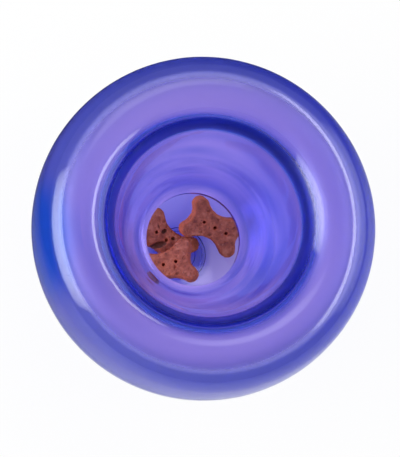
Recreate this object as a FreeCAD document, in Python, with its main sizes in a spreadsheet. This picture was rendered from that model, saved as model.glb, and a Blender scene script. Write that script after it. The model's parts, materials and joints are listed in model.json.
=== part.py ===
import FreeCAD, Part
import math
import os

import Sketcher

# Treat ball for one dog: a soft ball with a deep crater, a throat at the bottom of the crater,
# a hollow chamber round and under the funnel, and the loose biscuits that the chamber holds.
# Millimetres, +Z up. The origin is the centre of the flat foot that the ball stands on.

doc = FreeCAD.newDocument("treat_ball")

# Driving sizes, one named cell each
SIZES = {
    # the ball
    "ball_radius": 50.8,
    "side_wall": 5.5,
    "foot_radius": 10.0,
    "foot_round": 0.8,
    # the rounded lip round the crater; heights are from the middle of the ball
    "lip_round": 11.3,
    "lip_height": 7.5,
    "pocket_round": 6.0,
    # the funnel, hollowed like a bowl, and its throat
    "funnel_round": 50.0,
    "funnel_wall": 4.3,
    "throat_radius": 14.4,
    "throat_depth": 18.6,
    "throat_land": 2.4,
    "throat_round": 0.3,
    "under_round": 3.5,
    # the stepped joint where the two mouldings are bonded, this far inside the ball's surface
    "seam_inset": 2.6,
    "seam_step": 3.0,
    "bond_gap": 0.05,
    # one biscuit, cut as a bone
    "treat_thickness": 5.0,
    "lobe_radius": 2.5,
    "lobe_reach": 7.2,
    "lobe_spread": 4.4,
    "waist_half": 4.0,
    "notch_reach": 8.2,
    "treat_round": 0.8,
    "docker_radius": 0.45,
    "docker_pitch": 4.0,
    # room between a biscuit and what it lies on
    "treat_gap": 0.3,
    # a biscuit that leans on another is raised by that one's thickness, less this
    "right_lean_gain": 1.95,
    "top_lean_gain": 0.3,
}

sheet = doc.addObject("Spreadsheet::Sheet", "Sizes")
for row, (name, value) in enumerate(SIZES.items(), start=1):
    sheet.set(f"A{row}", name)
    sheet.set(f"B{row}", str(value))
    sheet.setAlias(f"B{row}", name)
doc.recompute()


def size(name):
    return float(sheet.get(name))


# Points and arcs that more than one sub-part needs, worked out from the sheet
ball_radius = size("ball_radius")
cavity_radius = ball_radius - size("side_wall")
seam_radius = ball_radius - size("seam_inset")
foot_drop = math.sqrt(ball_radius**2 - size("foot_radius") ** 2)
Y_AXIS = FreeCAD.Vector(0, 1, 0)
Z_AXIS = FreeCAD.Vector(0, 0, 1)
START, END, CENTRE = range(1, 4)
ORIGIN_POINT = (-1, 1)
H_AXIS = -1
V_AXIS = -2


def flat(point):
    return FreeCAD.Vector(point[0], point[1], 0)


def polar_point(centre, radius, angle):
    return (centre[0] + radius * math.cos(angle), centre[1] + radius * math.sin(angle))


def angle_to(start, end):
    return math.atan2(end[1] - start[1], end[0] - start[0])


def meet(first, first_reach, second, second_reach):
    """Point at both reaches, on the left of the way from first to second."""
    apart = math.dist(first, second)
    share = (first_reach**2 + apart**2 - second_reach**2) / (2 * first_reach * apart)
    return polar_point(first, first_reach, angle_to(first, second) + math.acos(share))


def new_body(label):
    body = doc.addObject("PartDesign::Body", label)
    body.Label = label
    return body


def origin_feature(body, role):
    return next(f for f in body.Origin.OriginFeatures if f.Role == role)


def new_sketch(body, name, role):
    sketch = body.newObject("Sketcher::SketchObject", name)
    sketch.AttachmentSupport = [(origin_feature(body, role), "")]
    sketch.MapMode = "FlatFace"
    return sketch


def add_line(sketch, start, end):
    return sketch.addGeometry(Part.LineSegment(flat(start), flat(end)), False)


def add_arc(sketch, centre, radius, first, last):
    """Counter-clockwise arc from the angle first to the angle last."""
    circle = Part.Circle(flat(centre), Z_AXIS, radius)
    return sketch.addGeometry(Part.ArcOfCircle(circle, first, last), False)


def fix(sketch, kind, *elements):
    return sketch.addConstraint(Sketcher.Constraint(kind, *elements))


def drive(sketch, name, expression, kind, *elements):
    """A driving dimension whose value comes from the sheet."""
    index = sketch.addConstraint(Sketcher.Constraint(kind, *elements))
    sketch.renameConstraint(index, name)
    sketch.setExpression(f"Constraints.{name}", expression)


def revolve(body, sketch):
    turned = body.newObject("PartDesign::Revolution", sketch.Name + "_turned")
    turned.Profile = sketch
    turned.ReferenceAxis = (sketch, ["V_Axis"])
    turned.Angle = 360
    sketch.Visibility = False
    doc.recompute()
    return turned


def round_edges(body, base, name, wanted, radius_cell):
    """Rounds each edge of base that wanted accepts, by the radius in the sheet."""
    edges = [f"Edge{i}" for i, edge in enumerate(base.Shape.Edges, start=1) if wanted(edge)]
    rounding = body.newObject("PartDesign::Fillet", name)
    rounding.Base = (base, edges)
    rounding.setExpression("Radius", f"Sizes.{radius_cell}")
    doc.recompute()
    return rounding


def is_circle(edge, radius, height):
    """True for a whole circle about the Z axis with this radius, at this height."""
    slack = 0.001
    return (
        not edge.Degenerated
        and isinstance(edge.Curve, Part.Circle)
        and abs(edge.Curve.Radius - radius) < slack
        and abs(edge.Curve.Center.z - height) < slack
    )


def stand_on_foot(body):
    """Sub-parts are drawn about the middle of the ball, which stands foot_drop above the origin."""
    body.setExpression(
        "Placement.Base.z", "sqrt(Sizes.ball_radius^2 - Sizes.foot_radius^2)"
    )


# Upper moulding: dome, rounded lip, funnel and throat in one piece
def build_crater_shell():
    lip_round = size("lip_round")
    lip_height = size("lip_height")
    lip_radius = math.sqrt((ball_radius - lip_round) ** 2 - lip_height**2)
    lip_centre = (lip_radius, lip_height)
    lip_angle = math.atan2(lip_height, lip_radius)

    throat_top = (size("throat_radius"), -size("throat_depth"))
    throat_end = (size("throat_radius"), -size("throat_depth") - size("throat_land"))
    # the funnel is a hollow arc from the throat that touches the lip's arc
    funnel_round = size("funnel_round")
    funnel_centre = meet(throat_top, funnel_round, lip_centre, lip_round + funnel_round)
    throat_angle = angle_to(funnel_centre, throat_top)
    funnel_angle = angle_to(funnel_centre, lip_centre)

    # the inside of the funnel has the same centre, and the pocket touches that and the cavity
    inner_round = funnel_round + size("funnel_wall")
    pocket_round = size("pocket_round")
    pocket_centre = meet(funnel_centre, inner_round + pocket_round, (0, 0), cavity_radius - pocket_round)
    pocket_angle = angle_to((0, 0), pocket_centre)
    inner_angle = angle_to(funnel_centre, pocket_centre)
    # the flat under the throat turns into the inside of the funnel on a rounding
    under_round = size("under_round")
    under_reach = inner_round - under_round
    under_angle = math.asin((throat_end[1] + under_round - funnel_centre[1]) / under_reach)
    under_centre = polar_point(funnel_centre, under_reach, under_angle)

    step = size("seam_step")
    step_angle = math.asin(step / cavity_radius)
    ledge_inner = polar_point((0, 0), cavity_radius, step_angle)

    body = new_body("crater_shell")
    sketch = new_sketch(body, "crater_profile", "XZ_Plane")
    ball = add_arc(sketch, (0, 0), ball_radius, 0, lip_angle)
    lip = add_arc(sketch, lip_centre, lip_round, lip_angle, math.pi + funnel_angle)
    funnel = add_arc(sketch, funnel_centre, funnel_round, throat_angle, funnel_angle)
    land = add_line(sketch, throat_top, throat_end)
    under = add_line(sketch, throat_end, (under_centre[0], throat_end[1]))
    turn = add_arc(sketch, under_centre, under_round, -math.pi / 2, under_angle)
    funnel_in = add_arc(sketch, funnel_centre, inner_round, under_angle, inner_angle)
    pocket = add_arc(sketch, pocket_centre, pocket_round, pocket_angle, math.pi + inner_angle)
    cavity = add_arc(sketch, (0, 0), cavity_radius, step_angle, pocket_angle)
    ledge = add_line(sketch, ledge_inner, (seam_radius, step))
    step_wall = add_line(sketch, (seam_radius, step), (seam_radius, 0))
    seam_face = add_line(sketch, (seam_radius, 0), (ball_radius, 0))

    fix(sketch, "Coincident", ball, CENTRE, *ORIGIN_POINT)
    fix(sketch, "Coincident", cavity, CENTRE, *ORIGIN_POINT)
    fix(sketch, "Tangent", ball, END, lip, START)
    fix(sketch, "Tangent", lip, END, funnel, END)
    fix(sketch, "Coincident", funnel, START, land, START)
    fix(sketch, "Coincident", land, END, under, START)
    fix(sketch, "Tangent", under, END, turn, START)
    fix(sketch, "Tangent", turn, END, funnel_in, START)
    fix(sketch, "Tangent", funnel_in, END, pocket, END)
    fix(sketch, "Tangent", pocket, START, cavity, END)
    fix(sketch, "Coincident", cavity, START, ledge, START)
    fix(sketch, "Coincident", ledge, END, step_wall, START)
    fix(sketch, "Coincident", step_wall, END, seam_face, START)
    fix(sketch, "Coincident", seam_face, END, ball, START)
    fix(sketch, "Vertical", land)
    fix(sketch, "Horizontal", under)
    fix(sketch, "Coincident", funnel, CENTRE, funnel_in, CENTRE)
    fix(sketch, "Horizontal", ledge)
    fix(sketch, "Vertical", step_wall)
    fix(sketch, "Horizontal", seam_face)
    fix(sketch, "PointOnObject", ball, START, H_AXIS)
    drive(sketch, "ball", "Sizes.ball_radius", "Radius", ball, ball_radius)
    drive(sketch, "cavity", "Sizes.ball_radius - Sizes.side_wall", "Radius", cavity, cavity_radius)
    drive(sketch, "lip", "Sizes.lip_round", "Radius", lip, lip_round)
    drive(sketch, "lip_up", "Sizes.lip_height", "DistanceY", *ORIGIN_POINT, lip, CENTRE, lip_height)
    drive(sketch, "pocket", "Sizes.pocket_round", "Radius", pocket, pocket_round)
    drive(sketch, "throat", "Sizes.throat_radius", "DistanceX", *ORIGIN_POINT, land, START, throat_top[0])
    drive(sketch, "depth", "Sizes.throat_depth", "DistanceY", land, START, *ORIGIN_POINT, -throat_top[1])
    drive(sketch, "land", "Sizes.throat_land", "DistanceY", land, END, land, START, size("throat_land"))
    drive(sketch, "turn", "Sizes.under_round", "Radius", turn, under_round)
    drive(sketch, "funnel", "Sizes.funnel_round", "Radius", funnel, funnel_round)
    drive(sketch, "wall", "Sizes.funnel_round + Sizes.funnel_wall", "Radius", funnel_in, inner_round)
    drive(
        sketch, "seam", "Sizes.ball_radius - Sizes.seam_inset",
        "DistanceX", *ORIGIN_POINT, step_wall, END, seam_radius,
    )
    drive(sketch, "step", "Sizes.seam_step", "DistanceY", step_wall, END, step_wall, START, step)
    turned = revolve(body, sketch)

    def throat_edge(edge):
        return any(is_circle(edge, size("throat_radius"), z) for z in (throat_top[1], throat_end[1]))

    round_edges(body, turned, "throat_rounded", throat_edge, "throat_round")
    stand_on_foot(body)
    return body


# Lower moulding: a plain cup with a flat foot, and the upstand that the crater shell is bonded to
def build_base_shell():
    gap = size("bond_gap")
    rise = size("seam_step") - gap
    upstand_radius = seam_radius - gap
    foot_radius = size("foot_radius")
    foot_corner = (foot_radius, -foot_drop)
    rise_angle = math.asin(rise / cavity_radius)
    rise_inner = polar_point((0, 0), cavity_radius, rise_angle)
    floor = (0, -cavity_radius)

    body = new_body("base_shell")
    sketch = new_sketch(body, "base_profile", "XZ_Plane")
    ball = add_arc(sketch, (0, 0), ball_radius, math.atan2(-foot_drop, foot_radius), 0)
    foot = add_line(sketch, foot_corner, (0, -foot_drop))
    middle = add_line(sketch, (0, -foot_drop), floor)
    cavity = add_arc(sketch, (0, 0), cavity_radius, -math.pi / 2, rise_angle)
    crest = add_line(sketch, rise_inner, (upstand_radius, rise))
    upstand = add_line(sketch, (upstand_radius, rise), (upstand_radius, 0))
    seam_face = add_line(sketch, (upstand_radius, 0), (ball_radius, 0))

    fix(sketch, "Coincident", ball, CENTRE, *ORIGIN_POINT)
    fix(sketch, "Coincident", cavity, CENTRE, *ORIGIN_POINT)
    fix(sketch, "Coincident", ball, START, foot, START)
    fix(sketch, "Coincident", foot, END, middle, START)
    fix(sketch, "Coincident", middle, END, cavity, START)
    fix(sketch, "Coincident", cavity, END, crest, START)
    fix(sketch, "Coincident", crest, END, upstand, START)
    fix(sketch, "Coincident", upstand, END, seam_face, START)
    fix(sketch, "Coincident", seam_face, END, ball, END)
    fix(sketch, "Horizontal", foot)
    fix(sketch, "PointOnObject", foot, END, V_AXIS)
    fix(sketch, "PointOnObject", middle, END, V_AXIS)
    fix(sketch, "Horizontal", crest)
    fix(sketch, "Vertical", upstand)
    fix(sketch, "Horizontal", seam_face)
    fix(sketch, "PointOnObject", ball, END, H_AXIS)
    drive(sketch, "ball", "Sizes.ball_radius", "Radius", ball, ball_radius)
    drive(sketch, "cavity", "Sizes.ball_radius - Sizes.side_wall", "Radius", cavity, cavity_radius)
    drive(sketch, "foot", "Sizes.foot_radius", "DistanceX", foot, END, foot, START, foot_radius)
    drive(
        sketch, "seam", "Sizes.ball_radius - Sizes.seam_inset - Sizes.bond_gap",
        "DistanceX", *ORIGIN_POINT, upstand, END, upstand_radius,
    )
    drive(
        sketch, "rise", "Sizes.seam_step - Sizes.bond_gap",
        "DistanceY", upstand, END, upstand, START, rise,
    )
    turned = revolve(body, sketch)

    def foot_edge(edge):
        return is_circle(edge, foot_radius, -foot_drop)

    round_edges(body, turned, "foot_rounded", foot_edge, "foot_round")
    stand_on_foot(body)
    return body


# How each biscuit lies in the cup, in degrees. Polar is the angle of its seat from straight down,
# azimuth the side of the cup it lies on, spin the heading of its long axis, and pitch how far its
# far end dips from the cup's slope.
LEFT_SEAT = {"polar": 8.8, "azimuth": 152.2, "spin": -37.3}
RIGHT_SEAT = {"polar": 17.4, "azimuth": 41.9, "spin": -28.0, "pitch": 20.0}
TOP_SEAT = {"polar": 12.0, "azimuth": 227.8, "spin": 11.0, "pitch": -28.0}


def seat(polar, azimuth, spin, pitch=0.0, lift=0.0):
    """Place of a biscuit that the biscuit under it, if any, raises by lift off the cup."""
    lobe_corner = math.hypot(size("lobe_reach"), size("lobe_spread")) + size("lobe_radius")
    seat_radius = cavity_radius - size("treat_gap")
    depth = math.sqrt(seat_radius**2 - lobe_corner**2) - lift
    slope = FreeCAD.Rotation(Z_AXIS, azimuth) * FreeCAD.Rotation(Y_AXIS, -polar)
    heading = FreeCAD.Rotation(Z_AXIS, spin - azimuth) * FreeCAD.Rotation(Y_AXIS, pitch)
    middle = slope.multVec(FreeCAD.Vector(0, 0, -depth)) + FreeCAD.Vector(0, 0, foot_drop)
    return FreeCAD.Placement(middle, slope * heading)


# A bone-shaped biscuit: four round lobes, two long waists and a notch at each end
def build_treat(label, placement):
    lobe = size("lobe_radius")
    reach, spread = size("lobe_reach"), size("lobe_spread")
    waist, notch = size("waist_half"), size("notch_reach")
    # radii of the hollows that touch two lobes and dip to the waist or the notch
    waist_round = (reach**2 + (waist - spread) ** 2 - lobe**2) / (2 * (lobe - waist + spread))
    notch_round = (spread**2 + (notch - reach) ** 2 - lobe**2) / (2 * (lobe - notch + reach))
    waist_y = waist + waist_round
    notch_x = notch + notch_round
    to_waist = math.atan2(waist_y - spread, -reach)
    to_notch = math.atan2(-spread, notch_x - reach)

    body = new_body(label)
    outline = new_sketch(body, label + "_outline", "XY_Plane")
    # lobes in turn round the outline, starting at the right-hand far one
    corners = ((1, 1), (-1, 1), (-1, -1), (1, -1))
    lobes = []
    for side, edge in corners:
        first, last = to_notch, to_waist
        if side < 0:
            first, last = math.pi - last, math.pi - first
        if edge < 0:
            first, last = -last, -first
        lobes.append(add_arc(outline, (side * reach, edge * spread), lobe, first, last))
    waist_half_angle = math.atan2(reach, waist_y - spread)
    notch_half_angle = math.atan2(spread, notch_x - reach)
    down, up = -math.pi / 2, math.pi / 2
    hollows = [
        add_arc(outline, (0, waist_y), waist_round, down - waist_half_angle, down + waist_half_angle),
        add_arc(outline, (-notch_x, 0), notch_round, -notch_half_angle, notch_half_angle),
        add_arc(outline, (0, -waist_y), waist_round, up - waist_half_angle, up + waist_half_angle),
        add_arc(
            outline, (notch_x, 0), notch_round,
            math.pi - notch_half_angle, math.pi + notch_half_angle,
        ),
    ]
    far_waist, left_notch, near_waist, right_notch = hollows
    for index, hollow in enumerate(hollows):
        following = lobes[(index + 1) % len(lobes)]
        fix(outline, "Tangent", lobes[index], END, hollow, END)
        fix(outline, "Tangent", hollow, START, following, START)
    for other in lobes[1:]:
        fix(outline, "Equal", lobes[0], other)
    fix(outline, "Symmetric", lobes[0], CENTRE, lobes[1], CENTRE, V_AXIS)
    fix(outline, "Symmetric", lobes[3], CENTRE, lobes[2], CENTRE, V_AXIS)
    fix(outline, "Symmetric", lobes[0], CENTRE, lobes[3], CENTRE, H_AXIS)
    fix(outline, "Equal", far_waist, near_waist)
    fix(outline, "Equal", left_notch, right_notch)
    drive(outline, "lobe", "Sizes.lobe_radius", "Radius", lobes[0], lobe)
    drive(outline, "reach", "Sizes.lobe_reach", "DistanceX", *ORIGIN_POINT, lobes[0], CENTRE, reach)
    drive(outline, "spread", "Sizes.lobe_spread", "DistanceY", *ORIGIN_POINT, lobes[0], CENTRE, spread)
    drive(
        outline, "waist",
        "(Sizes.lobe_reach^2 + (Sizes.waist_half - Sizes.lobe_spread)^2 - Sizes.lobe_radius^2)"
        " / (2 * (Sizes.lobe_radius - Sizes.waist_half + Sizes.lobe_spread))",
        "Radius", far_waist, waist_round,
    )
    drive(
        outline, "notch",
        "(Sizes.lobe_spread^2 + (Sizes.notch_reach - Sizes.lobe_reach)^2 - Sizes.lobe_radius^2)"
        " / (2 * (Sizes.lobe_radius - Sizes.notch_reach + Sizes.lobe_reach))",
        "Radius", right_notch, notch_round,
    )
    slab = body.newObject("PartDesign::Pad", label + "_slab")
    slab.Profile = outline
    slab.setExpression("Length", "Sizes.treat_thickness")
    doc.recompute()

    def rim(edge):
        heights = [vertex.Point.z for vertex in edge.Vertexes]
        return abs(heights[0] - heights[-1]) < slab.Length.Value / 2

    rounded = round_edges(body, slab, label + "_rounded", rim, "treat_round")

    # docker holes, pricked right through along the middle
    holes = new_sketch(body, label + "_holes", "XY_Plane")
    for name, place in (("left", -1), ("middle", 0), ("right", 1)):
        centre = (place * size("docker_pitch"), 0)
        circle = holes.addGeometry(Part.Circle(flat(centre), Z_AXIS, size("docker_radius")), False)
        drive(holes, name + "_radius", "Sizes.docker_radius", "Radius", circle, size("docker_radius"))
        if place:
            fix(holes, "PointOnObject", circle, CENTRE, H_AXIS)
            ends = (*ORIGIN_POINT, circle, CENTRE) if place > 0 else (circle, CENTRE, *ORIGIN_POINT)
            drive(holes, name + "_pitch", "Sizes.docker_pitch", "DistanceX", *ends, size("docker_pitch"))
        else:
            fix(holes, "Coincident", circle, CENTRE, *ORIGIN_POINT)
    solid = rounded.Shape.Volume
    pricked = body.newObject("PartDesign::Pocket", label + "_pricked")
    pricked.Profile = holes
    pricked.Type = "ThroughAll"
    pricked.Midplane = True
    doc.recompute()
    if pricked.Shape.Volume >= solid:
        raise RuntimeError(f"{label}: the docker holes cut nothing")
    body.Placement = placement
    return body


layer = size("treat_thickness") + size("treat_gap")
right_lift = layer - size("right_lean_gain")
top_lift = layer - size("top_lean_gain")

bodies = [
    build_crater_shell(),
    build_base_shell(),
    build_treat("treat_left", seat(**LEFT_SEAT)),
    build_treat("treat_right", seat(**RIGHT_SEAT, lift=right_lift)),
    build_treat("treat_top", seat(**TOP_SEAT, lift=top_lift)),
]
doc.recompute()

# Nothing is written unless every object computed and every sub-part is one sound solid
for item in doc.Objects:
    if "Invalid" in item.State or "Error" in item.State:
        raise RuntimeError(f"{item.Label} failed: {item.State}")
    if item.isDerivedFrom("Sketcher::SketchObject") and not item.FullyConstrained:
        raise RuntimeError(f"{item.Label} is not fully constrained")
for body in bodies:
    if body.Shape.isNull() or not body.Shape.isValid() or len(body.Shape.Solids) != 1:
        raise RuntimeError(f"{body.Label} has no single valid solid")

os.makedirs("parts", exist_ok=True)
for body in bodies:
    body.Shape.exportStep(f"parts/{body.Label}.step")
    box = body.Shape.BoundBox
    print(
        f"{body.Label}: volume {body.Shape.Volume:.0f} mm3, "
        f"{box.XLength:.1f} x {box.YLength:.1f} x {box.ZLength:.1f} mm, from z {box.ZMin:.2f}"
    )
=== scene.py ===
import json
import math

import bpy
import numpy as np
from mathutils import Matrix, Vector, kdtree, noise


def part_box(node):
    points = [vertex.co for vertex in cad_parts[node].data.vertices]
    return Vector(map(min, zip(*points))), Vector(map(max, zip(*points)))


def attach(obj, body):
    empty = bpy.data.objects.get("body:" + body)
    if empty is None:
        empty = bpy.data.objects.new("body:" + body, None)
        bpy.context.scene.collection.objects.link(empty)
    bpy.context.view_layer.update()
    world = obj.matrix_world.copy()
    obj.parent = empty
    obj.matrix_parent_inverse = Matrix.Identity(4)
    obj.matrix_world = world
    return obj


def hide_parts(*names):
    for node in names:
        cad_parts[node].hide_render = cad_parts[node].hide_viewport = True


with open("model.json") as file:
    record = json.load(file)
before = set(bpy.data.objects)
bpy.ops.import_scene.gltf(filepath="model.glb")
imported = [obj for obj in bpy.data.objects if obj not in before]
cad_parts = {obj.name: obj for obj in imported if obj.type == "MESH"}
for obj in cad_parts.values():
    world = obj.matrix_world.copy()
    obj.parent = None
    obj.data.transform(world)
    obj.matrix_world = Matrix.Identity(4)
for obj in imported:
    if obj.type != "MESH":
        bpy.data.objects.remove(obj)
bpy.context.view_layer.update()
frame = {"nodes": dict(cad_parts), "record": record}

# A soft, clear violet treat ball with a deep crater, and the loose biscuits inside it.
# Profiles are drawn in millimetres about the middle of the ball and set down in metres.
MM = 0.001

# Sizes read from the frame
shell_low, shell_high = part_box("base_shell")
BALL_RADIUS = (shell_high.x - shell_low.x) / 2 / MM
crater_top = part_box("crater_shell")[1].z / MM
throat = next(m for m in frame["record"]["mounts"] if m["name"] == "throat")
THROAT_RADIUS = throat["dims"]["r_mm"]

# Sizes of the mouldings, as in the part
SIDE_WALL = 5.5
FOOT_RADIUS = 10.0
FOOT_ROUND = 0.8
LIP_ROUND = 11.3
POCKET_ROUND = 6.0
FUNNEL_ROUND = 50.0
FUNNEL_WALL = 4.3
THROAT_DEPTH = 18.6
THROAT_LAND = 2.4
THROAT_ROUND = 0.3
UNDER_ROUND = 3.5

# Fine relief: the seam's groove, the rings under the foot, the ripples of the funnel and the waves
# of the whole skin
SEAM_GROOVE = 0.12
SEAM_HALF = 0.22
FOOT_RINGS = (8.6, 7.5, 5.2)
RING_DEPTH = 0.4
RING_HALF = 0.35
RIPPLE_DEPTH = 0.035
RIPPLE_PITCH = 2.1
RIPPLE_START = (THROAT_RADIUS + 0.4, THROAT_RADIUS + 1.5)
RIPPLE_END = (26.0, 31.0)
RIPPLE_DRIFT = (0.6, 0.37)
WAVE_DEPTH = 0.03
WAVE_LENGTH = 7.0
WAVE_INNER = 5.0

FOOT_DROP = math.sqrt(BALL_RADIUS**2 - FOOT_RADIUS**2)
LIP_HEIGHT = crater_top - FOOT_DROP - LIP_ROUND
CAVITY_RADIUS = BALL_RADIUS - SIDE_WALL
SHELL_SEGMENTS = 288


def arc(centre, radius, first, last, step):
    """Points along an arc, both ends included, no further apart than step."""
    count = max(2, math.ceil(abs(last - first) * radius / step))
    angles = [first + (last - first) * i / count for i in range(count + 1)]
    return [(centre[0] + radius * math.cos(a), centre[1] + radius * math.sin(a)) for a in angles]


def line(start, end, step):
    """Points along a straight line, without its ends."""
    count = max(1, math.ceil(math.dist(start, end) / step))
    spread = [i / count for i in range(1, count)]
    return [tuple(a + (b - a) * share for a, b in zip(start, end)) for share in spread]


def angle_to(start, end):
    return math.atan2(end[1] - start[1], end[0] - start[0])


def polar(centre, radius, angle):
    return (centre[0] + radius * math.cos(angle), centre[1] + radius * math.sin(angle))


def meet(first, first_reach, second, second_reach):
    """Point at both reaches, on the left of the way from first to second."""
    apart = math.dist(first, second)
    share = (first_reach**2 + apart**2 - second_reach**2) / (2 * first_reach * apart)
    return polar(first, first_reach, angle_to(first, second) + math.acos(share))


def blend(value, low, high):
    """0 below low, 1 above high, and smooth between."""
    share = min(1.0, max(0.0, (value - low) / (high - low)))
    return share * share * (3 - 2 * share)


def shell_profile():
    """The moulded skin as one closed outline from axis to axis, in two runs: outside and inside."""
    finest, fine, foot_step, middle, coarse = 0.05, 0.12, 0.15, 0.35, 0.8
    lip_radius = math.sqrt((BALL_RADIUS - LIP_ROUND) ** 2 - LIP_HEIGHT**2)
    lip_centre = (lip_radius, LIP_HEIGHT)
    lip_angle = angle_to((0, 0), lip_centre)
    throat_top = (THROAT_RADIUS, -THROAT_DEPTH)
    funnel_centre = meet(throat_top, FUNNEL_ROUND, lip_centre, LIP_ROUND + FUNNEL_ROUND)
    funnel_angle = angle_to(funnel_centre, lip_centre)
    throat_angle = angle_to(funnel_centre, throat_top)

    # the outside: the foot with its rings, the ball with the seam, the lip and the funnel
    foot_angle = -math.acos((FOOT_RADIUS + 0.5 * FOOT_ROUND) / BALL_RADIUS)
    seam_angle = 3 * SEAM_HALF / BALL_RADIUS
    foot_edge = (FOOT_RADIUS - 0.5 * FOOT_ROUND, -FOOT_DROP)
    outside = [(0.0, -FOOT_DROP)] + line((0, -FOOT_DROP), foot_edge, foot_step)
    outside = [(r, z + foot_ring(r)) for r, z in outside] + [foot_edge]
    outside += arc((0, 0), BALL_RADIUS, foot_angle, -seam_angle, coarse)
    outside += arc((0, 0), BALL_RADIUS, -seam_angle, seam_angle, 0.5 * fine)[1:]
    outside += arc((0, 0), BALL_RADIUS, seam_angle, lip_angle, coarse)[1:]
    outside += arc(lip_centre, LIP_ROUND, lip_angle, math.pi + funnel_angle, middle)[1:]
    outside += arc(funnel_centre, FUNNEL_ROUND, funnel_angle, throat_angle, middle)[1:-1]

    # the throat: a straight land between two small roundings
    throat_low = -THROAT_DEPTH - THROAT_LAND
    slope = math.pi / 2 + throat_angle
    trim = THROAT_ROUND * math.tan((math.pi / 2 - slope) / 2)
    top_round = (THROAT_RADIUS + THROAT_ROUND, -THROAT_DEPTH - trim)
    low_round = (THROAT_RADIUS + THROAT_ROUND, throat_low + THROAT_ROUND)
    outside += arc(top_round, THROAT_ROUND, math.pi + throat_angle, math.pi, finest)
    inside = line((THROAT_RADIUS, top_round[1]), (THROAT_RADIUS, low_round[1]), fine)
    inside += arc(low_round, THROAT_ROUND, math.pi, 1.5 * math.pi, finest)

    # the inside: rounded under side, funnel wall, pocket under the lip, and the round chamber
    inner_round = FUNNEL_ROUND + FUNNEL_WALL
    pocket_reach = CAVITY_RADIUS - POCKET_ROUND
    pocket_centre = meet(funnel_centre, inner_round + POCKET_ROUND, (0, 0), pocket_reach)
    pocket_angle = angle_to((0, 0), pocket_centre)
    inner_angle = angle_to(funnel_centre, pocket_centre)
    under_reach = inner_round - UNDER_ROUND
    under_angle = math.asin((throat_low + UNDER_ROUND - funnel_centre[1]) / under_reach)
    under_centre = polar(funnel_centre, under_reach, under_angle)
    inside += line(inside[-1], (under_centre[0], throat_low), fine)
    inside += arc(under_centre, UNDER_ROUND, -math.pi / 2, under_angle, fine)
    inside += arc(funnel_centre, inner_round, under_angle, inner_angle, middle)[1:]
    inside += arc(pocket_centre, POCKET_ROUND, math.pi + inner_angle, pocket_angle, middle)[1:]
    inside += arc((0, 0), CAVITY_RADIUS, pocket_angle, -math.pi / 2, coarse)[1:-1]
    inside += [(0.0, -CAVITY_RADIUS)]
    return outside, inside


def foot_ring(radius):
    """Height of the shallow rings pressed into the under side of the foot."""
    return sum(RING_DEPTH * math.exp(-(((radius - ring) / RING_HALF) ** 2)) for ring in FOOT_RINGS)


def seam_groove(radius, height):
    """The bond line shows on the outside as a fine shallow groove."""
    share = math.exp(-((height / SEAM_HALF) ** 2))
    return radius - SEAM_GROOVE * share


def ripple(radius, height):
    """Faint rings left by turning the mould run round the crater's wall near the throat."""
    if height > LIP_HEIGHT:
        return height
    share = blend(radius, *RIPPLE_START) * (1 - blend(radius, *RIPPLE_END))
    phase = 2 * math.pi * (radius - THROAT_RADIUS) / RIPPLE_PITCH
    swing, pace = RIPPLE_DRIFT
    return height - RIPPLE_DEPTH * share * (1 + math.sin(phase + swing * math.sin(pace * phase)))


def lathe(name, outline, segments):
    """Turns an outline that starts and ends on the axis into one closed, faintly wavy mesh."""
    angles = np.arange(segments) * 2 * math.pi / segments
    rings, verts, faces = [], [], []
    for radius, height in outline:
        first = len(verts)
        if radius < 1e-9:
            verts.append((0.0, 0.0, height))
            rings.append([first] * segments)
        else:
            for angle in angles:
                spot = Vector((radius * math.cos(angle), radius * math.sin(angle), height))
                wave = WAVE_DEPTH * (noise.noise(spot / WAVE_LENGTH) - 1)
                spot.xy *= 1 + wave / max(radius, WAVE_INNER)
                verts.append(spot[:])
            rings.append(list(range(first, first + segments)))
    for low, high in zip(rings, rings[1:]):
        for i in range(segments):
            j = (i + 1) % segments
            corners = [low[i], low[j], high[j], high[i]]
            faces.append(list(dict.fromkeys(corners)))
    mesh = bpy.data.meshes.new(name)
    mesh.from_pydata(verts, [], faces)
    mesh.transform(Matrix.Translation((0, 0, FOOT_DROP * MM)) @ Matrix.Scale(MM, 4))
    mesh.shade_smooth()
    piece = bpy.data.objects.new(name, mesh)
    bpy.context.collection.objects.link(piece)
    return piece


# Roughness of the moulded skin: polished outside but for a matt band on the crater's flank, and
# inside smooth on the funnel, matt on the side wall of the chamber and polished on its floor
OUTSIDE_ROUGHNESS = 0.045
FLANK_ROUGHNESS = 0.3
FUNNEL_ROUGHNESS = 0.11
WALL_ROUGHNESS = 0.45
FLOOR_ROUGHNESS = 0.06

# Where they change: radii of the pocket under the lip, angles down the round chamber, and heights
# at which the matt band comes in and fades out
POCKET = (31.0, 37.0)
WALL_LOW = math.radians(-35)
FLOOR_HIGH = math.radians(-60)
ON_CAVITY = CAVITY_RADIUS - 0.1
FLANK_LOW = (8.5, 10.5)
FLANK_HIGH = (14.8, 15.8)

# Colours that the skin gives to the light that passes it; those of the funnel, the flank and the land are
# painted shade, and the skin's blue is a painted patch of lamp light
SHELL_TINT = (0.93, 0.70, 0.96)
CUP_TINT = (1.0, 0.60, 0.88)
FUNNEL_SHADE_AND_FLOW = (0.22, 0.34, 0.75)
FLANK_SHADE = (0.14, 0.58, 1.0)
LAND_SHADE = (0.10, 0.12, 0.55)
PAINTED_LAMP_BLUE = (0.08, 0.44, 1.0)

# The painted blue patch of lamp light from the left, seen through the skin: its middle and half size in
# degrees and mm, and where it fades
PATCH_MIDDLE = (187.0, 7.0)
PATCH_HALF = (27.0, 14.0)
PATCH_FADE = (0.55, 1.0)
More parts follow.
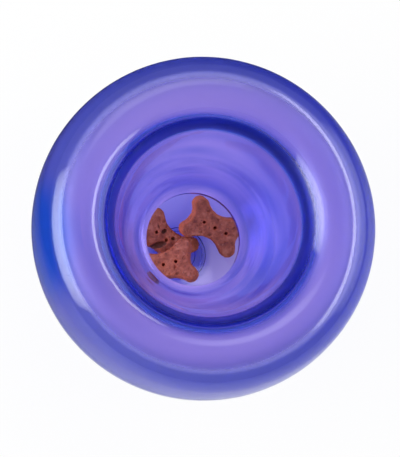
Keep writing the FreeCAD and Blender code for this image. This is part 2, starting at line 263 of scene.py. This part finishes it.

# Painted shade inside the funnel, a ring and the wall above it, and random flow marks in the colour, all
# fading before the lip
SHADE_RING, SHADE_RING_HALF, SHADE_RING_SHARE = 18.6, 1.6, 0.7
SHADE_WALL = (20.0, 28.0)
SHADE_WALL_MEAN, SHADE_WALL_SWING = 0.6, 0.4
FLOW_START = (17.0, 20.0)
FLOW_MARKS = 0.9
FLOW_SCALE = (0.42, 1.3)
FUNNEL_FADE = (32.0, 36.0)


def inside_roughness(radius, height):
    if height < 0 and math.hypot(radius, height) > ON_CAVITY:
        wall = blend(math.atan2(height, radius), FLOOR_HIGH, WALL_LOW)
        return WALL_ROUGHNESS * wall + FLOOR_ROUGHNESS * (1 - wall)
    return FUNNEL_ROUGHNESS + (WALL_ROUGHNESS - FUNNEL_ROUGHNESS) * blend(radius, *POCKET)


def flank(height):
    """Share of the matt band on the crater's steep flank under the lip, which also carries painted shade.
    """
    return blend(height, *FLANK_LOW) * (1 - blend(height, *FLANK_HIGH))


def painted_lamp_patch(height, turn):
    """Share of the painted blue patch of lamp light, seen through the skin on one side under the lip."""
    aside = (math.degrees(turn) - PATCH_MIDDLE[0]) / PATCH_HALF[0]
    above = (height - PATCH_MIDDLE[1]) / PATCH_HALF[1]
    return 1 - blend(math.hypot(aside, above), *PATCH_FADE)


def funnel_shade_and_flow(radius, turn):
    """Share of painted shade on the inside of the funnel: a dark ring near the throat, more on two
    sides of the wall than on the others, and random flow marks in the colour."""
    ring = SHADE_RING_SHARE * math.exp(-(((radius - SHADE_RING) / SHADE_RING_HALF) ** 2))
    wall = blend(radius, *SHADE_WALL) * (SHADE_WALL_MEAN + SHADE_WALL_SWING * math.cos(2 * turn))
    out, about = FLOW_SCALE
    flow = noise.noise((out * radius, about * math.cos(turn), about * math.sin(turn)))
    flow *= FLOW_MARKS * blend(radius, *FLOW_START)
    return min(1.0, max(0.0, ring + wall + flow)) * (1 - blend(radius, *FUNNEL_FADE))


def mixed(first, second, share):
    return [low + share * (high - low) for low, high in zip(first, second)]


def build_shell():
    """The clear skin in one piece, with its roughness and its tint, painted shade and painted light
    included, stored at every point.
    """
    outside, inside = shell_profile()
    outside = [(seam_groove(r, z) if r > CAVITY_RADIUS else r, z) for r, z in outside]
    top = outside.index(max(outside, key=lambda point: point[1]))
    outside[top:] = [(r, ripple(r, z)) for r, z in outside[top:]]
    piece = lathe("toy_shell", outside + inside, SHELL_SEGMENTS)
    turns = [2 * math.pi * step / SHELL_SEGMENTS for step in range(SHELL_SEGMENTS)]
    funnel_shaded = [part * dye for part, dye in zip(SHELL_TINT, FUNNEL_SHADE_AND_FLOW)]
    land_edge = THROAT_RADIUS + 0.5 * THROAT_ROUND
    roughness, tints = [], []
    for place, (radius, height) in enumerate(outside + inside):
        ring = [0.0] if radius < 1e-9 else turns
        if place < top:
            rough = OUTSIDE_ROUGHNESS
            # painted light: a blue patch of lamp light seen through the skin
            colours = [mixed(SHELL_TINT, PAINTED_LAMP_BLUE, painted_lamp_patch(height, turn)) for turn in ring]
        elif place < len(outside):
            rough = OUTSIDE_ROUGHNESS + (FLANK_ROUGHNESS - OUTSIDE_ROUGHNESS) * flank(height)
            # painted shade on the flank's matt band
            colours = [mixed(SHELL_TINT, FLANK_SHADE, flank(height))] * len(ring)
        else:
            rough = inside_roughness(radius, height)
            if radius < land_edge and height > -THROAT_DEPTH - THROAT_LAND:
                # painted shade: the throat's land is made darker
                colours = [LAND_SHADE] * len(ring)
            elif math.atan2(height, radius) < FLOOR_HIGH:
                colours = [CUP_TINT] * len(ring)
            else:
                # painted shade inside the funnel, with random flow marks
                colours = [mixed(SHELL_TINT, funnel_shaded, funnel_shade_and_flow(radius, turn)) for turn in ring]
        roughness += [rough] * len(ring)
        for colour in colours:
            tints += [*colour, 1.0]
    finish = piece.data.attributes.new("finish", "FLOAT", "POINT")
    finish.data.foreach_set("value", roughness)
    # the tint carries painted shade and painted light as well as the skin's own colour
    tint_with_painted_light = piece.data.attributes.new("tint_with_painted_light", "FLOAT_COLOR", "POINT")
    tint_with_painted_light.data.foreach_set("color", tints)
    return piece


def new_material(name):
    material = bpy.data.materials.new(name)
    material.use_nodes = True
    nodes = material.node_tree.nodes
    return material, nodes, nodes["Principled BSDF"], nodes["Material Output"]


# The dye all through the rubber, and the tint of lamp light that shines through it
DYE_COLOUR = (0.11, 0.38, 0.935)
DYE_DENSITY = 100.0
LAMP_TINT = (0.97, 0.93, 1.0)


def shell_material():
    material, nodes, principled, output = new_material("clear_violet_rubber")
    links = material.node_tree.links
    principled.inputs["IOR"].default_value = 1.5
    principled.inputs["Transmission Weight"].default_value = 1.0

    finish = nodes.new("ShaderNodeAttribute")
    finish.attribute_name = "finish"
    links.new(finish.outputs["Fac"], principled.inputs["Roughness"])
    # the stored tint, with its painted shade and painted light, is the base colour
    tint_with_painted_light = nodes.new("ShaderNodeAttribute")
    tint_with_painted_light.attribute_name = "tint_with_painted_light"
    links.new(tint_with_painted_light.outputs["Color"], principled.inputs["Base Color"])

    dye = nodes.new("ShaderNodeVolumeAbsorption")
    dye.inputs["Color"].default_value = (*DYE_COLOUR, 1)
    dye.inputs["Density"].default_value = DYE_DENSITY
    links.new(dye.outputs["Volume"], output.inputs["Volume"])

    # lamps and the surroundings shine through the shell, tinted
    path = nodes.new("ShaderNodeLightPath")
    clear = nodes.new("ShaderNodeBsdfTransparent")
    clear.inputs["Color"].default_value = (*LAMP_TINT, 1)
    either = nodes.new("ShaderNodeMath")
    either.operation = "MAXIMUM"
    mix = nodes.new("ShaderNodeMixShader")
    links.new(path.outputs["Is Shadow Ray"], either.inputs[0])
    links.new(path.outputs["Is Diffuse Ray"], either.inputs[1])
    links.new(either.outputs["Value"], mix.inputs["Fac"])
    links.new(principled.outputs["BSDF"], mix.inputs[1])
    links.new(clear.outputs["BSDF"], mix.inputs[2])
    links.new(mix.outputs["Shader"], output.inputs["Surface"])
    return material


# Crumb of a biscuit: size of its grid, least depth under the solid's face, scale and depth of each
# layer of noise, and the pores, which open where one more layer rises over a level
CRUMB_VOXEL = 0.2
CRUMB_DEPTH = 0.12
CRUMB_LAYERS = ((0.35, 0.10), (1.3, 0.10), (2.6, 0.06))
PORE_SCALE, PORE_LEVEL = 0.9, 0.32
SEED_SHIFT = Vector((17.3, 5.1, 9.7))

# The browned rim: how far it reaches in from the side faces, which lean this far off upright
RIM_WIDTH = 0.55
SIDE_LEAN = 0.6

# Pits in the upper face of a biscuit: place along and across it, half length, half width,
# heading in degrees and depth
PITS = {
    "treat_left": (
        (-2.3, 1.8, 1.0, 0.6, 70, 1.2), (1.4, 1.9, 0.65, 0.5, 40, 1.0), (-1.0, -2.7, 2.7, 0.95, 55, 1.5),
        (-4.6, 1.9, 0.9, 0.25, 150, 0.35),
    ),
    "treat_right": ((-0.6, -2.8, 0.8, 0.45, 20, 0.4), (5.4, 2.6, 0.7, 0.3, 60, 0.3)),
    "treat_top": (
        (3.7, -3.8, 0.7, 0.4, 10, 0.45), (6.2, -4.6, 0.5, 0.35, 0, 0.35), (-3.5, -3.0, 0.8, 0.3, 30, 0.3),
    ),
}
PIT_BRIM = 1.35
# Painted shade in the pits: they darken with depth, fully at this depth in mm
PIT_DARK = 0.9
UPPER_FACE = 0.5


def biscuit_axes(places):
    """Middle of a biscuit and its axes as rows: along it, across it and out of its upper face."""
    middle = places.mean(axis=0)
    along, across, out = np.linalg.svd(places - middle, full_matrices=False)[2]
    along = along * math.copysign(1, along[0])
    out = out * math.copysign(1, out[2])
    return middle, np.array([along, np.cross(out, along), out])


def pit_depth(node, local):
    """Depth in mm of the pits at each point, which only the upper face has."""
    depth = np.zeros(len(local))
    for x, y, length, width, heading, deep in PITS[node]:
        turn = math.radians(heading)
        off_x, off_y = local[:, 0] - x, local[:, 1] - y
        u = (off_x * math.cos(turn) + off_y * math.sin(turn)) / length
        v = (off_y * math.cos(turn) - off_x * math.sin(turn)) / width
        bowl = np.clip(PIT_BRIM - u**2 - v**2, 0, 1)
        depth = np.maximum(depth, deep * bowl * (3 - 2 * bowl) * bowl)
    return depth * (local[:, 2] > UPPER_FACE)


def build_biscuit(node, seed):
    """A baked biscuit on its CAD solid: slightly shrunk, with a rough crumb surface."""
    piece = bpy.data.objects.new(node + "_biscuit", frame["nodes"][node].data.copy())
    bpy.context.collection.objects.link(piece)
    remesh = piece.modifiers.new("remesh", "REMESH")
    remesh.mode = "VOXEL"
    remesh.voxel_size = CRUMB_VOXEL * MM
    graph = bpy.context.evaluated_depsgraph_get()
    piece.data = bpy.data.meshes.new_from_object(piece.evaluated_get(graph))
    piece.modifiers.clear()
    piece.data.materials.clear()
    mesh = piece.data
    mesh.name = piece.name

    count = len(mesh.vertices)
    places = np.zeros(count * 3, np.float32)
    normals = np.zeros(count * 3, np.float32)
    mesh.vertices.foreach_get("co", places)
    mesh.vertices.foreach_get("normal", normals)
    places, normals = places.reshape(-1, 3) / MM, normals.reshape(-1, 3)
    middle, axes = biscuit_axes(places)
    local = (places - middle) @ axes.T
    pits = pit_depth(node, local)
    depth = np.full(count, CRUMB_DEPTH)
    shift = SEED_SHIFT * seed
    for i, place in enumerate(places):
        spot = Vector(place) + shift
        for scale, deep in CRUMB_LAYERS:
            depth[i] += deep * noise.noise(spot * scale)
        depth[i] += max(0.0, noise.noise(spot * PORE_SCALE + shift) - PORE_LEVEL)
    places -= normals * np.maximum(depth, 0.0)[:, None]
    places -= axes[2] * pits[:, None]
    mesh.vertices.foreach_set("co", (places * MM).ravel().astype(np.float32))
    mesh.update()
    mesh.shade_smooth()

    # the rim and the painted shade of the pits are stored at every point, for the material
    side = np.flatnonzero(np.abs(normals @ axes[2]) < SIDE_LEAN)
    tree = kdtree.KDTree(len(side))
    for i in side:
        tree.insert(local[i], int(i))
    tree.balance()
    reach = np.array([tree.find(spot)[2] for spot in local])
    rim = mesh.attributes.new("rim", "FLOAT", "POINT")
    rim.data.foreach_set("value", np.exp(-((reach / RIM_WIDTH) ** 2)).astype(np.float32))
    pit_shade = mesh.attributes.new("pit_shade", "FLOAT", "POINT")
    pit_shade.data.foreach_set("value", np.clip(pits / PIT_DARK, 0, 1).astype(np.float32))
    return piece


BISCUIT_COLOURS = ((0.49, 0.105, 0.042), (0.27, 0.05, 0.02), (0.66, 0.19, 0.09))
RIM_COLOUR = (0.62, 0.115, 0.035)
FLECK_COLOUR = (0.75, 0.36, 0.24)
BRAN_COLOUR = (0.16, 0.04, 0.02)
PIT_SHADE_COLOUR = (0.17, 0.05, 0.022)


def biscuit_material():
    material, nodes, principled, output = new_material("baked_biscuit")
    links = material.node_tree.links
    place = nodes.new("ShaderNodeTexCoord")

    def noise_node(scale, detail, roughness=0.6):
        node = nodes.new("ShaderNodeTexNoise")
        node.inputs["Scale"].default_value = scale
        node.inputs["Detail"].default_value = detail
        node.inputs["Roughness"].default_value = roughness
        links.new(place.outputs["Object"], node.inputs["Vector"])
        return node

    def share_of(source, low, high, most=1.0):
        node = nodes.new("ShaderNodeMapRange")
        node.inputs["From Min"].default_value = low
        node.inputs["From Max"].default_value = high
        node.inputs["To Max"].default_value = most
        links.new(source, node.inputs["Value"])
        return node.outputs["Result"]

    def attribute(name):
        node = nodes.new("ShaderNodeAttribute")
        node.attribute_name = name
        return node.outputs["Fac"]

    patches = noise_node(420.0, 6.0, 0.72)
    ramp = nodes.new("ShaderNodeValToRGB")
    middle, dark, pale = BISCUIT_COLOURS
    ramp.color_ramp.elements[0].position = 0.36
    ramp.color_ramp.elements[0].color = (*dark, 1)
    ramp.color_ramp.elements[1].position = 0.66
    ramp.color_ramp.elements[1].color = (*pale, 1)
    element = ramp.color_ramp.elements.new(0.5)
    element.color = (*middle, 1)
    links.new(patches.outputs["Fac"], ramp.inputs["Fac"])
    colour = ramp.outputs["Color"]

    # the baked rim, pale flecks, dark specks of bran, and painted shade in the pits
    layers = (
        (share_of(attribute("rim"), 0.0, 1.0, 0.8), RIM_COLOUR),
        (share_of(noise_node(1100.0, 2.0).outputs["Fac"], 0.68, 0.74, 0.7), FLECK_COLOUR),
        (share_of(noise_node(1500.0, 2.0).outputs["Fac"], 0.64, 0.70), BRAN_COLOUR),
        (share_of(attribute("pit_shade"), 0.1, 0.8, 0.9), PIT_SHADE_COLOUR),
    )
    for share, top_colour in layers:
        mix = nodes.new("ShaderNodeMix")
        mix.data_type = "RGBA"
        mix.inputs["B"].default_value = (*top_colour, 1)
        links.new(share, mix.inputs["Factor"])
        links.new(colour, mix.inputs["A"])
        colour = mix.outputs["Result"]
    links.new(colour, principled.inputs["Base Color"])

    rough = nodes.new("ShaderNodeMapRange")
    rough.inputs["To Min"].default_value = 0.75
    rough.inputs["To Max"].default_value = 0.95
    links.new(patches.outputs["Fac"], rough.inputs["Value"])
    links.new(rough.outputs["Result"], principled.inputs["Roughness"])

    grain = noise_node(2600.0, 5.0, 0.7)
    bump = nodes.new("ShaderNodeBump")
    bump.inputs["Strength"].default_value = 0.8
    bump.inputs["Distance"].default_value = 0.2 * MM
    links.new(grain.outputs["Fac"], bump.inputs["Height"])
    links.new(bump.outputs["Normal"], principled.inputs["Normal"])
    return material


# The floor, in metres. The camera sees it white. Rays through the shell see it as it is lit, with
# a share of that white added as painted light, stronger towards the front and left out round the
# foot as a painted contact shadow, and rays off the gloss see it darker, as painted shade.
FLOOR_SIZE = 3.0
FLOOR_DROP = 0.0002
FLOOR_COLOUR = (0.85, 0.85, 0.85)
CAMERA_WHITE = 0.92
GLASS_WHITE = 0.12
GLASS_WHITE_FRONT = 0.62
GLASS_SLOPE = (12.0, -32.0, 0.0)
GLASS_LEAN = 0.1
FOOT_SHADE = (0.008, 0.011)
GLOSS_FLOOR = 0.45
GLOSS_SLOPE = (3.3, -6.6, 0.0)


def build_floor():
    bpy.ops.mesh.primitive_plane_add(size=FLOOR_SIZE, location=(0, 0, -FLOOR_DROP))
    floor = bpy.context.active_object
    floor.name = "floor"
    material, nodes, principled, output = new_material("pale_floor")
    links = material.node_tree.links
    principled.inputs["Base Color"].default_value = (*FLOOR_COLOUR, 1)
    principled.inputs["Roughness"].default_value = 0.9
    glow = nodes.new("ShaderNodeEmission")
    glow.inputs["Strength"].default_value = 1.0
    path = nodes.new("ShaderNodeLightPath")
    place = nodes.new("ShaderNodeTexCoord")

    def lean(slope, offset):
        """Value that grows over the floor along slope, kept from 0 to 1."""
        dot = nodes.new("ShaderNodeVectorMath")
        dot.operation = "DOT_PRODUCT"
        dot.inputs[1].default_value = slope
        links.new(place.outputs["Object"], dot.inputs[0])
        total = nodes.new("ShaderNodeMath")
        total.operation = "ADD"
        total.use_clamp = True
        total.inputs[1].default_value = offset
        links.new(dot.outputs["Value"], total.inputs[0])
        return total.outputs[0]

    def math_node(operation, first, second):
        node = nodes.new("ShaderNodeMath")
        node.operation = operation
        for socket, value in zip(node.inputs, (first, second)):
            if isinstance(value, float):
                socket.default_value = value
            else:
                links.new(value, socket)
        return node.outputs[0]

    # how much white each kind of ray is shown: painted light towards the front and a painted contact
    # shadow round the foot
    front = nodes.new("ShaderNodeMapRange")
    front.inputs["To Min"].default_value = GLASS_WHITE
    front.inputs["To Max"].default_value = GLASS_WHITE_FRONT
    links.new(lean(GLASS_SLOPE, GLASS_LEAN), front.inputs["Value"])
    reach = nodes.new("ShaderNodeVectorMath")
    reach.operation = "LENGTH"
    links.new(place.outputs["Object"], reach.inputs[0])
    past_foot = nodes.new("ShaderNodeMapRange")
    past_foot.inputs["From Min"].default_value = FOOT_SHADE[0]
    past_foot.inputs["From Max"].default_value = FOOT_SHADE[1]
    links.new(reach.outputs["Value"], past_foot.inputs["Value"])
    through = math_node("MULTIPLY", path.outputs["Is Transmission Ray"], front.outputs["Result"])
    through = math_node("MULTIPLY", through, past_foot.outputs["Result"])
    seen = math_node("MULTIPLY", path.outputs["Is Camera Ray"], CAMERA_WHITE)
    mix = nodes.new("ShaderNodeMixShader")
    links.new(math_node("ADD", through, seen), mix.inputs["Fac"])
    links.new(principled.outputs["BSDF"], mix.inputs[1])
    links.new(glow.outputs["Emission"], mix.inputs[2])

    # painted shade: rays off gloss see the floor dimmed, more towards the back and the left
    bare = math_node("SUBTRACT", path.outputs["Is Glossy Ray"], path.outputs["Is Transmission Ray"])
    bare = math_node("MAXIMUM", bare, 0.0)
    dim = math_node("MULTIPLY", bare, math_node("SUBTRACT", 1.0, lean(GLOSS_SLOPE, GLOSS_FLOOR)))
    dark = nodes.new("ShaderNodeEmission")
    dark.inputs["Strength"].default_value = 0.0
    last = nodes.new("ShaderNodeMixShader")
    links.new(dim, last.inputs["Fac"])
    links.new(mix.outputs["Shader"], last.inputs[1])
    links.new(dark.outputs["Emission"], last.inputs[2])
    links.new(last.outputs["Shader"], output.inputs["Surface"])
    floor.data.materials.append(material)


# The surroundings: white to the camera, and dimmer as a light
WORLD_LIGHT = 0.3


def build_world():
    world = bpy.data.worlds.new("studio")
    world.use_nodes = True
    bpy.context.scene.world = world
    background = world.node_tree.nodes["Background"]
    background.inputs["Color"].default_value = (1, 1, 1, 1)
    background.inputs["Strength"].default_value = WORLD_LIGHT
    white = world.node_tree.nodes.new("ShaderNodeBackground")
    white.inputs["Strength"].default_value = 1.0
    path = world.node_tree.nodes.new("ShaderNodeLightPath")
    mix = world.node_tree.nodes.new("ShaderNodeMixShader")
    links = world.node_tree.links
    links.new(path.outputs["Is Camera Ray"], mix.inputs["Fac"])
    links.new(background.outputs["Background"], mix.inputs[1])
    links.new(white.outputs["Background"], mix.inputs[2])
    links.new(mix.outputs["Shader"], world.node_tree.nodes["World Output"].inputs["Surface"])


# Softboxes: place, width and height in metres, and power in watts
LEFT_SOFTBOX = ("left_softbox", (-0.725, -0.025, 0.388), 0.92, 0.52, 11.8)
RIGHT_STRIP = ("right_strip", (0.54, 0.14, 0.625), 1.15, 0.15, 3.7)
RIGHT_SOFTBOX = ("right_softbox", (0.73, 0.13, 0.35), 1.0, 0.5, 2.6)
BACK_SOFTBOX = ("back_softbox", (0.0, 0.7, 1.3), 0.8, 0.5, 2.6)
SOFTBOXES = (LEFT_SOFTBOX, RIGHT_STRIP, RIGHT_SOFTBOX, BACK_SOFTBOX)
# Brightness across a softbox, from edge to edge
SOFTBOX_EDGES = ((0.0, 0.0), (1.0, 0.0))
SOFTBOX_CURVE = ((0.2, 0.85), (0.35, 1.0), (0.65, 1.0), (0.8, 0.85))


def soften(tree):
    """A softbox shines brightest in the middle and fades to its edges."""
    nodes, links = tree.nodes, tree.links
    face = nodes.new("ShaderNodeNewGeometry")
    split = nodes.new("ShaderNodeSeparateXYZ")
    links.new(face.outputs["Parametric"], split.inputs["Vector"])
    strength = None
    for axis in ("X", "Y"):
        ramp = nodes.new("ShaderNodeFloatCurve")
        curve = ramp.mapping.curves[0]
        for point, place in zip(curve.points, SOFTBOX_EDGES):
            point.location = place
        for x, y in SOFTBOX_CURVE:
            curve.points.new(x, y)
        ramp.mapping.update()
        links.new(split.outputs[axis], ramp.inputs["Value"])
        if strength:
            product = nodes.new("ShaderNodeMath")
            product.operation = "MULTIPLY"
            links.new(strength, product.inputs[0])
            links.new(ramp.outputs["Value"], product.inputs[1])
            strength = product.outputs["Value"]
        else:
            strength = ramp.outputs["Value"]
    links.new(strength, nodes["Emission"].inputs["Strength"])


def build_lamps():
    middle = Vector((0, 0, FOOT_DROP * MM))
    for name, place, width, height, power in SOFTBOXES:
        lamp = bpy.data.lights.new(name, "AREA")
        lamp.shape = "RECTANGLE"
        lamp.size = width
        lamp.size_y = height
        lamp.energy = power
        lamp.use_nodes = True
        soften(lamp.node_tree)
        holder = bpy.data.objects.new(name, lamp)
        holder.location = place
        holder.rotation_euler = (middle - Vector(place)).to_track_quat("-Z", "Y").to_euler()
        bpy.context.collection.objects.link(holder)


# The camera looks down into the crater, a little from the front left
CAMERA_TILT = math.radians(13.7)
CAMERA_SIDE = math.radians(47.0)
CAMERA_DISTANCE = 0.70
PHOTO_WIDTH, PHOTO_HEIGHT = 400, 457
BALL_AT = (203.4, 228.6)
BALL_PIXELS = 172.2
SENSOR = 24.0


def build_camera():
    tilt, side = CAMERA_TILT, CAMERA_SIDE
    back = Vector((-math.sin(tilt) * math.cos(side), -math.sin(tilt) * math.sin(side), math.cos(tilt)))
    across = Vector((0, 1, 0)).cross(back).normalized()
    up = back.cross(across)
    place = Vector((0, 0, FOOT_DROP * MM)) + back * CAMERA_DISTANCE
    camera = bpy.data.cameras.new("camera")
    holder = bpy.data.objects.new("camera", camera)
    holder.matrix_world = Matrix.Translation(place) @ Matrix((across, up, back)).transposed().to_4x4()
    bpy.context.collection.objects.link(holder)
    ball = BALL_RADIUS * MM
    spread = ball / math.sqrt(CAMERA_DISTANCE**2 - ball**2)
    camera.sensor_fit = "VERTICAL"
    camera.sensor_height = SENSOR
    camera.lens = BALL_PIXELS / PHOTO_HEIGHT * SENSOR / spread
    camera.shift_x = (PHOTO_WIDTH / 2 - BALL_AT[0]) / PHOTO_HEIGHT
    camera.shift_y = (BALL_AT[1] - PHOTO_HEIGHT / 2) / PHOTO_HEIGHT
    bpy.context.scene.camera = holder


shell = build_shell()
shell.data.materials.append(shell_material())
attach(shell, "ball")
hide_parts("crater_shell", "base_shell")

biscuit = biscuit_material()
for seed, (node, body) in enumerate(
    (("treat_left", "left_treat"), ("treat_right", "right_treat"), ("treat_top", "top_treat"))
):
    piece = build_biscuit(node, seed)
    piece.data.materials.append(biscuit)
    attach(piece, body)
    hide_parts(node)

build_floor()
build_world()
build_lamps()
build_camera()

scene = bpy.context.scene
scene.view_settings.view_transform = "Standard"
scene.cycles.max_bounces = 24
scene.cycles.transmission_bounces = 24
scene.cycles.glossy_bounces = 12
scene.cycles.transparent_max_bounces = 24
